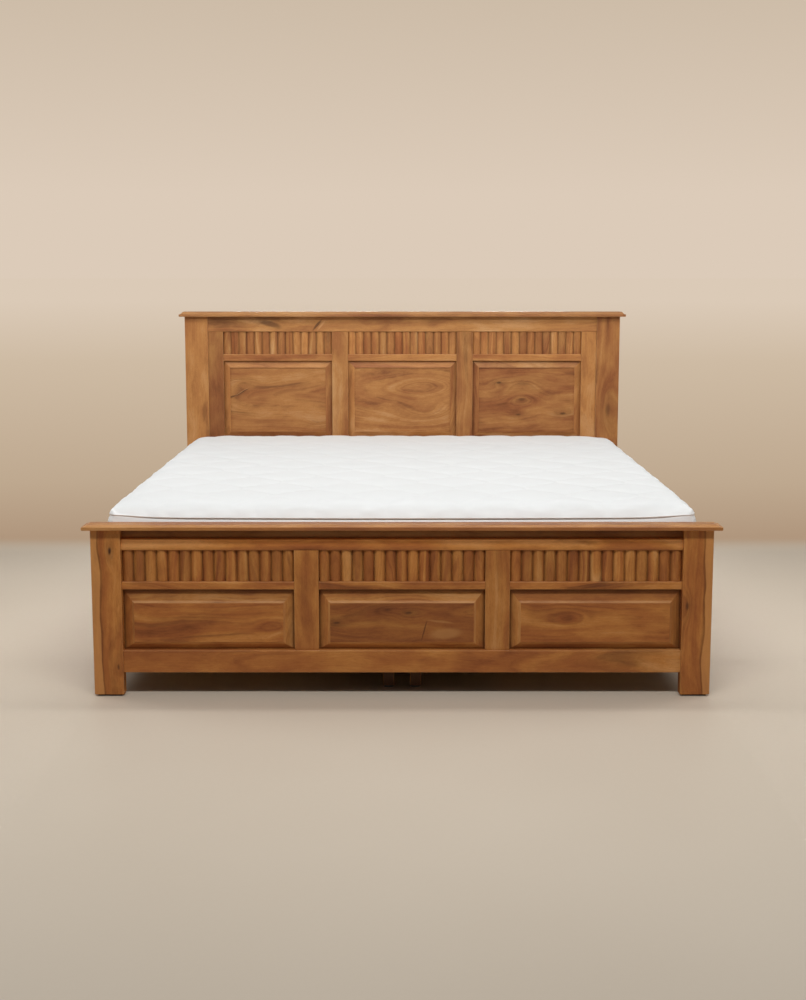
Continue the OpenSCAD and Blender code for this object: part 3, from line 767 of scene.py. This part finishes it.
# The border, which bulges out between its two sewn channels
BORDER_RINGS = [
    (-0.0018, 0.1556), (-0.0040, 0.1490), (-0.0064, 0.1380), (-0.0070, 0.1260), (-0.0060, 0.1190),
    (-0.0040, 0.1165), (-0.0060, 0.1140), (-0.0072, 0.1060), (-0.0074, 0.0930), (-0.0066, 0.0800),
    (-0.0052, 0.0730), (-0.0030, 0.0705), (-0.0044, 0.0680), (-0.0038, 0.0600), (-0.0018, 0.0480),
    (0.0002, 0.0360),
]

# The groove above the bottom edge and the roll round it
BOTTOM_RINGS = [
    (0.0020, 0.0280), (0.0046, 0.0235), (0.0066, 0.0215), (0.0046, 0.0195), (0.0024, 0.0160),
    (0.0020, 0.0110), (0.0034, 0.0060), (0.0075, 0.0020), (0.0130, 0.0004), (0.0260, 0.0002),
]

# Rings above this height belong to the seam, and grow shallow where it climbs, by so much for each metre
SEAM_FOOT = 0.16
SEAM_SHALLOW = 78.0

# The border climbs with the seam from this height over the base, and fully at the seam's foot
CLIMB_FROM = 0.1


def spacing(half, fine, step):
    """Grid places from -half to half, closer together near both ends."""
    inner = half - fine[-1]
    count = max(2, round(2 * inner / step))
    middle = np.linspace(-inner, inner, count + 1)
    ends = half - np.array(fine[:-1])
    return np.concatenate([-ends, middle, ends[::-1]])


def seam_rise(x, y):
    """How much higher the seam lies near the corners than in the middle of a side."""
    corner = np.maximum(HALF_W - np.abs(x), HALF_L - np.abs(y))
    climb = SEAM_CLIMB * np.exp(-(corner / SEAM_CLIMB_REACH) ** 2)
    return climb + SEAM_BOW * (1 - np.minimum(corner / HALF_W, 1)) ** 2


def top_height(x, y):
    """Height over the base of the top, before quilting, and how far a place lies inside the edge."""
    qx = np.abs(x) - (HALF_W - CORNER)
    qy = np.abs(y) - (HALF_L - CORNER)
    inset = CORNER - np.hypot(np.maximum(qx, 0), np.maximum(qy, 0)) - np.minimum(np.maximum(qx, qy), 0)
    inset = np.maximum(inset, 0)

    # The short sides slope more gently than the long ones, and near a corner both lower the top
    from_side = np.maximum(HALF_W - np.abs(x), 1e-4)
    from_end = np.maximum(HALF_L - np.abs(y), 1e-4)
    at_end = from_side / (from_side + from_end)
    both = 1 / np.hypot(1 / from_side, 1 / (END_SLOPE * from_end))
    reach = np.minimum(inset * (1 - (1 - END_SLOPE) * at_end ** 2), both)
    places, heights = np.array(EDGE).T
    shoulder = np.interp(reach, places, heights)
    shoulder += seam_rise(x, y) * np.clip(1 - inset / SEAM_RIM, 0, 1) ** 1.5
    c = np.clip((inset - SHOULDER) / (HALF_W - SHOULDER), 0, 1)
    droop = HEAD_DROOP * np.exp(-(np.hypot(HALF_W - np.abs(x), HALF_L - y) / DROOP_REACH) ** 2)
    droop *= np.clip(inset / CORNER, 0, 1)
    return shoulder + (CROWN_TOP - heights[-1]) * (1 - (1 - c) ** 2) - droop, inset


def quilt_distance(x, y):
    """Distance to the nearest line of the ogee quilting."""
    best = np.full(x.shape, np.inf)
    swing = QUILT_W / 4 * np.sin(2 * np.pi * y / QUILT_L)
    slope = QUILT_W / 4 * 2 * np.pi / QUILT_L * np.cos(2 * np.pi * y / QUILT_L)
    most = math.ceil(2 * HALF_W / QUILT_W) + 1
    for k in range(-most, most + 1):
        line = k * QUILT_W / 2 + (-1) ** k * swing
        best = np.minimum(best, np.abs(x - line) / np.sqrt(1 + slope ** 2))
    return best


def grid_mesh(name, xs, ys):
    """Top of the mattress as a grid whose corners are drawn in to the corner radius."""
    gx, gy = np.meshgrid(xs, ys)
    px = np.maximum(np.abs(gx) - (HALF_W - CORNER), 0)
    py = np.maximum(np.abs(gy) - (HALF_L - CORNER), 0)
    length = np.maximum(np.hypot(px, py), 1e-9)
    pull = np.where((px > 0) & (py > 0), np.maximum(px, py) / length, 1.0)
    x = np.where(px > 0, np.sign(gx) * (HALF_W - CORNER + px * pull), gx)
    y = np.where(py > 0, np.sign(gy) * (HALF_L - CORNER + py * pull), gy)
    z, _ = top_height(x, y)
    rows, columns = gx.shape
    ids = np.arange(rows * columns).reshape(rows, columns)
    quads = np.stack([ids[:-1, :-1], ids[:-1, 1:], ids[1:, 1:], ids[1:, :-1]], -1).reshape(-1, 4)
    mesh = bpy.data.meshes.new(name)
    mesh.from_pydata(np.stack([x, y, z], -1).reshape(-1, 3).tolist(), [], quads.tolist())
    return mesh, gx.shape


def write_points(mesh, co):
    mesh.vertices.foreach_set("co", co.astype(np.float32).ravel())
    mesh.update()


def puff(obj, near, inset):
    """How the cover's points move when cloth simulation blows it up between its quilting lines."""
    rest = read_points(obj.data)
    held = (near < HELD_WIDTH) & (inset > HELD_FROM) | (inset < HELD_RIM)
    group = obj.vertex_groups.new(name="sewn")
    group.add(np.flatnonzero(held).tolist(), 1.0, "REPLACE")
    cloth = obj.modifiers.new("cloth", "CLOTH")
    settings = cloth.settings
    settings.quality = 5
    settings.mass = 0.3
    settings.tension_stiffness = 15
    settings.compression_stiffness = 15
    settings.bending_stiffness = 0.5
    settings.vertex_group_mass = "sewn"
    settings.use_pressure = True
    settings.uniform_pressure_force = 4
    settings.shrink_min = -0.03
    settings.effector_weights.gravity = 0
    cloth.collision_settings.use_collision = False
    cloth.point_cache.frame_start = 1
    cloth.point_cache.frame_end = CLOTH_FRAMES
    for frame_number in range(1, CLOTH_FRAMES + 1):
        bpy.context.scene.frame_set(frame_number)
    evaluated = obj.evaluated_get(bpy.context.evaluated_depsgraph_get())
    moved = read_points(evaluated.to_mesh()) - rest
    evaluated.to_mesh_clear()
    obj.modifiers.remove(cloth)
    bpy.context.scene.frame_set(1)
    limit = np.array(PUFF_LIMIT)
    return limit * np.tanh(moved / limit)


def soften(field, shape, times):
    """Averages a field with its four neighbours on the grid."""
    grid = field.reshape(shape + (-1,))
    for _ in range(times):
        padded = np.pad(grid, ((1, 1), (1, 1), (0, 0)), mode="edge")
        around = padded[:-2, 1:-1] + padded[2:, 1:-1] + padded[1:-1, :-2] + padded[1:-1, 2:]
        grid = 0.5 * grid + 0.125 * around
    return grid.reshape(field.shape)


def subdivide(obj):
    """Puts the once subdivided mesh in the place of an object's mesh, and returns it."""
    smooth = obj.modifiers.new("smooth", "SUBSURF")
    smooth.levels = 1
    smooth.render_levels = 1
    smooth.boundary_smooth = "PRESERVE_CORNERS"
    evaluated = obj.evaluated_get(bpy.context.evaluated_depsgraph_get())
    made = bpy.data.meshes.new_from_object(evaluated)
    coarse = obj.data
    obj.modifiers.clear()
    obj.data = made
    bpy.data.meshes.remove(coarse)
    return made


def make_mattress():
    """The mattress as one closed, quilted and filled cover."""
    xs = spacing(HALF_W, RIM_LINES, GRID_STEP)
    ys = spacing(HALF_L, RIM_LINES, GRID_STEP)
    mesh, shape = grid_mesh("mattress_cover", xs, ys)
    obj = bpy.data.objects.new("mattress_cover", mesh)
    bpy.context.scene.collection.objects.link(obj)
    rest = read_points(mesh)
    near = quilt_distance(rest[:, 0], rest[:, 1])
    _, inset = top_height(rest[:, 0], rest[:, 1])
    moved = puff(obj, near, inset)
    write_points(mesh, rest + soften(moved, shape, 2))

    # The stitched lines and the painted light on the edge follow the finer mesh
    made = subdivide(obj)
    made.name = "mattress_cover"
    co = read_points(made)
    near = quilt_distance(co[:, 0], co[:, 1])
    _, inset = top_height(co[:, 0], co[:, 1])
    stitches = np.exp(-(near / STITCH_WIDTH) ** 2) * np.clip((inset - 0.02) / 0.03, 0, 1)
    co[:, 2] -= STITCH_DEPTH * stitches
    write_points(made, co)
    border = made.attributes.new("border", "FLOAT", "POINT")
    share = np.clip((PAINTED_LIGHT_EDGE - inset) / PAINTED_LIGHT_EDGE_FADE, 0, 1)
    border.data.foreach_set("value", share.astype(np.float32))
    close_below(made)
    made.transform(Matrix.Translation((CENTRE.x, CENTRE.y, BASE)))
    made.polygons.foreach_set("use_smooth", [True] * len(made.polygons))
    return obj


def rim_loop(bm):
    """Vertices of the open rim of a mesh in order, anticlockwise from above."""
    rim = [e for e in bm.edges if e.is_boundary]
    start = rim[0].verts[0]
    loop, current, before = [start], start, None
    while True:
        edge = next(e for e in current.link_edges if e.is_boundary and e is not before)
        current, before = edge.other_vert(current), edge
        if current is start:
            break
        loop.append(current)
    turn = sum(a.co.x * b.co.y - b.co.x * a.co.y for a, b in zip(loop, loop[1:] + loop[:1]))
    if turn < 0:
        loop.reverse()
    return loop


def outward(place):
    """Direction from the mattress outwards at a place on its rim."""
    qx = max(abs(place.x) - (HALF_W - CORNER), 0.0) * math.copysign(1, place.x)
    qy = max(abs(place.y) - (HALF_L - CORNER), 0.0) * math.copysign(1, place.y)
    return Vector((qx, qy, 0)).normalized()


def close_below(mesh):
    """Adds the border, the edges' rolls and the underside below the open rim of the top."""
    bm = bmesh.new()
    bm.from_mesh(mesh)
    border = bm.verts.layers.float["border"]
    ring = rim_loop(bm)
    places = [v.co.copy() for v in ring]
    outwards = [outward(p) for p in places]
    rises = [float(seam_rise(p.x, p.y)) for p in places]
    for inset, height in SEAM_RINGS + BORDER_RINGS + BOTTOM_RINGS:
        # The seam climbs and grows shallow towards the corners
        high = min(max((height - CLIMB_FROM) / (SEAM_FOOT - CLIMB_FROM), 0.0), 1.0)
        shallow = SEAM_SHALLOW if inset > 0 and height > SEAM_FOOT else 0.0
        lower = []
        for p, n, rise in zip(places, outwards, rises):
            depth = inset * (1 - shallow * rise)
            made = bm.verts.new((p.x - n.x * depth, p.y - n.y * depth, height + rise * high))
            made[border] = 1.0
            lower.append(made)
        for i in range(len(ring)):
            j = (i + 1) % len(ring)
            bm.faces.new((ring[i], lower[i], lower[j], ring[j]))
        ring = lower
    bm.faces.new(reversed(ring))
    bm.normal_update()
    bm.to_mesh(mesh)
    bm.free()


# Number of sides of a tape, and of steps round each of its corners
TAPE_SIDES = 10
TAPE_STEPS = 60


def piping(name, inset, height, radius):
    """Sewn tape round the mattress at a height over its base, as a swept tube."""
    path = []
    straight_x, straight_y = HALF_W - CORNER, HALF_L - CORNER
    for k, (sx, sy) in enumerate([(1, 1), (-1, 1), (-1, -1), (1, -1)]):
        for step in range(TAPE_STEPS + 1):
            a = math.radians(90 * k + 90 * step / TAPE_STEPS)
            path.append((sx * straight_x, sy * straight_y, math.cos(a), math.sin(a)))
    verts, faces = [], []
    for cx, cy, nx, ny in path:
        for s in range(TAPE_SIDES):
            t = 2 * math.pi * s / TAPE_SIDES
            reach = CORNER - inset + radius * math.cos(t)
            verts.append((CENTRE.x + cx + nx * reach, CENTRE.y + cy + ny * reach,
                          BASE + height + radius * math.sin(t)))
    for i in range(len(path)):
        j = (i + 1) % len(path)
        for s in range(TAPE_SIDES):
            t = (s + 1) % TAPE_SIDES
            faces.append((i * TAPE_SIDES + s, j * TAPE_SIDES + s, j * TAPE_SIDES + t, i * TAPE_SIDES + t))
    mesh = bpy.data.meshes.new(name)
    mesh.from_pydata(verts, [], faces)
    mesh.polygons.foreach_set("use_smooth", [True] * len(faces))
    obj = bpy.data.objects.new(name, mesh)
    bpy.context.scene.collection.objects.link(obj)
    return obj


# How much the fabric's tone drifts, and the tone between its stitches
FABRIC_DRIFT = (0.97, 0.97, 0.965, 1.0)
FABRIC_GAPS = (0.95, 0.95, 0.95, 1.0)
STITCH_SHARE = 0.06


def knit_fabric(name, colour, rib, border=None):
    """Knitted fabric with rib waves in a metre, painted a paler colour as painted light where the attribute
    border is 1.
    """
    net = new_net(name)
    place = net.place()
    if border:
        colour = net.mix(net.attribute("border", "Fac"), colour, border)
    warp = net.multiply(net.noise(place, 60.0), 3.0)
    x, y, z = net.split(place)
    loops = [net.math("ABSOLUTE", net.math("SINE", net.add(net.multiply(axis, rib), warp)))
             for axis in (net.add(x, z), net.add(y, z))]
    stitch = net.multiply(*loops)
    fuzz = net.noise(place, 2600.0, rough=0.6)
    height = net.add(net.multiply(stitch, 0.7), net.multiply(fuzz, 0.3))
    colour = net.mix(net.noise(place, 5.0), colour, net.tint(colour, FABRIC_DRIFT))
    colour = net.mix(net.multiply(stitch, STITCH_SHARE), net.tint(colour, FABRIC_GAPS), colour)
    return net.finish(colour, net.line(fuzz, 0.12, 0.82), net.bump(height, 0.35, 0.0004),
                      Sheen_Weight=0.15, Sheen_Roughness=0.5, Specular_IOR_Level=0.25)


cover = make_mattress()
cover.data.materials.clear()
# The sides and the rolled edge are painted a paler white: painted light on faces that the lamps reach less
cover.data.materials.append(knit_fabric("knit_cover", rgb("F0F0EE"), 1700.0, border=rgb("FAFAF8")))
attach(cover, "mattress")
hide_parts("mattress")

# The tapes lie in the grooves of the seam and of the bottom edge: inset, height and radius
TAPES = {
    "mattress_tape_top": (0.0080, 0.1630, 0.0016),
    "mattress_tape_bottom": (0.0058, 0.0215, 0.0035),
}
tape = knit_fabric("edge_tape", rgb("E9E7E2"), 2600.0)
for name, (inset, height, radius) in TAPES.items():
    cord = piping(name, inset, height, radius)
    cord.data.materials.append(tape)
    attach(cord, "mattress")


# Floor, background, light and camera

# The floor turns into the backdrop between these two places behind the bed
BACK_START = 1.25
BACK_END = 1.75

# A place's nearness is NEARNESS over its distance from the line that lies AWAY before the bed's middle
NEARNESS = 6.8
AWAY = 5.5

# Colours of the backdrop by nearness, darker close behind the bed as painted shade, and of the background by
# height over the horizon
BACKDROP = [(0.1, rgb("DBCAB7")), (0.31, rgb("CEBBA4")), (0.74, rgb("BEA88F")), (1.0, rgb("AB9077"))]
SKY_SEEN = [(0.05, rgb("DCCBB9")), (0.17, rgb("CDBCA8"))]

# The floor's two shades, how much darker it is painted towards the camera as painted shade and between which
# places that changes, and its colour far off with the distances where that starts and is full
FLOOR_DARK = rgb("CDBFAC")
FLOOR_PALE = rgb("D6C9B7")
FLOOR_NEAR_SHADE = 0.82
NEAR_FLOOR = (-3.6, -1.8)
FLOOR_FAR = rgb("C6B8A4")
FAR_START = 4.5
FAR_END = 14.0

# The floor also looks like the backdrop from this far beside the bed, and from this far before it
BESIDE = (2.3, 4.4)
BEFORE = (-6.4, -4.2)

# Soft light from the sky, low down and high up, and the heights between which it changes
SKY_LOW = 0.02
SKY_HIGH = 0.21
SKY_CHANGE = (0.15, 0.85)
LAMP_COLOUR = (0.98, 0.99, 1.0)


def floor_material():
    """Matt pale floor that turns into the warm backdrop behind the bed, and stays pale far off elsewhere."""
    net = new_net("studio_floor")
    place = net.place()
    x, y, _ = net.split(place)
    cloud = net.noise(place, 0.9, 3.0)
    grit = net.noise(place, 60.0, 3.0, 0.6)
    # Towards the camera the floor is painted darker: painted shade
    floor = net.dim(net.mix(cloud, FLOOR_DARK, FLOOR_PALE), net.step(y, *NEAR_FLOOR, FLOOR_NEAR_SHADE, 1.0))
    roughness = net.line(grit, 0.15, 0.42)
    shader = net.node("ShaderNodeBsdfPrincipled", {"Base Color": floor, "Roughness": roughness})

    # Only what is seen of the floor glows like the backdrop: it lights nothing
    near = net.math("DIVIDE", NEARNESS, net.math("MAXIMUM", net.add(y, AWAY), 1.0))
    distance = net.vector("LENGTH", place)
    around = net.mix(net.step(distance, FAR_START, FAR_END), FLOOR_FAR, SKY_SEEN[0][1])
    behind = net.step(y, BACK_START, BACK_END)
    backdrop = net.mix(behind, around, net.ramp(near, BACKDROP))
    glow = net.node("ShaderNodeEmission", {0: backdrop, 1: 1.0}).outputs[0]
    beside = net.step(net.math("ABSOLUTE", x), *BESIDE)
    before = net.step(y, *BEFORE, 1.0, 0.0)
    share = net.multiply(net.largest([behind, beside, before]), net.seen())
    blend = net.node("ShaderNodeMixShader", {0: share, 1: shader.outputs[0], 2: glow}).outputs[0]
    net.node("ShaderNodeOutputMaterial", {0: blend})
    return net.owner


def make_floor(size=300.0):
    mesh = bpy.data.meshes.new("floor")
    corners = [(-size, -size, 0), (size, -size, 0), (size, size, 0), (-size, size, 0)]
    mesh.from_pydata(corners, [], [(0, 1, 2, 3)])
    floor = bpy.data.objects.new("floor", mesh)
    bpy.context.scene.collection.objects.link(floor)
    mesh.materials.append(floor_material())


def make_world():
    """Even soft light; the camera and glossy surfaces see the pale backdrop."""
    net = Net(bpy.data.worlds.new("studio"))
    bpy.context.scene.world = net.owner
    height = net.split(net.node("ShaderNodeTexCoord").outputs["Generated"])[2]
    strength = net.step(height, *SKY_CHANGE, SKY_LOW, SKY_HIGH)
    fill = net.node("ShaderNodeBackground", {0: LAMP_COLOUR + (1.0,), 1: strength}).outputs[0]
    back = net.node("ShaderNodeBackground", {0: net.ramp(height, SKY_SEEN), 1: 1.0}).outputs[0]
    blend = net.node("ShaderNodeMixShader", {0: net.seen(), 1: fill, 2: back}).outputs[0]
    net.node("ShaderNodeOutputWorld", {0: blend})


def softbox(name, place, target, width, height, watts, spread=180.0):
    """Rectangular lamp at a place, turned to a target, that the camera doesn't see."""
    data = bpy.data.lights.new(name, "AREA")
    data.shape = "RECTANGLE"
    data.size = width
    data.size_y = height
    data.energy = watts
    data.color = LAMP_COLOUR
    data.spread = math.radians(spread)
    lamp = bpy.data.objects.new(name, data)
    bpy.context.scene.collection.objects.link(lamp)
    lamp.location = place
    lamp.visible_camera = False
    lamp.rotation_euler = (Vector(target) - Vector(place)).to_track_quat("-Z", "Y").to_euler()


make_floor()
make_world()
softbox("softbox_left", (-2.6, -0.1, 2.2), (0.0, 0.3, 0.5), 1.2, 1.8, 22.0)
softbox("softbox_right", (2.6, -0.1, 2.2), (0.0, 0.3, 0.5), 1.2, 1.8, 22.0)
softbox("headboard_light", (0.0, -0.5, 2.9), (0.0, 1.05, 0.75), 2.6, 0.4, 28.0)
softbox("key_light", (0.0, -3.3, 3.5), (0.0, -1.0, 0.3), 3.2, 0.45, 95.0)
softbox("rear_light", (0.0, 4.2, 1.0), (0.0, 1.1, 0.5), 2.2, 0.7, 16.0, spread=50.0)

# The camera's place, and its lens in millimetres and tilt below the horizon in degrees
CAMERA_AT = (0.003, -5.535, 1.284)
LENS = 54.3
PITCH = 8.6

camera_data = bpy.data.cameras.new("camera")
camera_data.lens = LENS
camera_data.sensor_width = 36.0
camera_data.clip_end = 400.0
camera = bpy.data.objects.new("camera", camera_data)
bpy.context.scene.collection.objects.link(camera)
camera.location = CAMERA_AT
camera.rotation_euler = (math.radians(90 - PITCH), 0.0, 0.0)
bpy.context.scene.camera = camera
bpy.context.scene.view_settings.view_transform = "Standard"
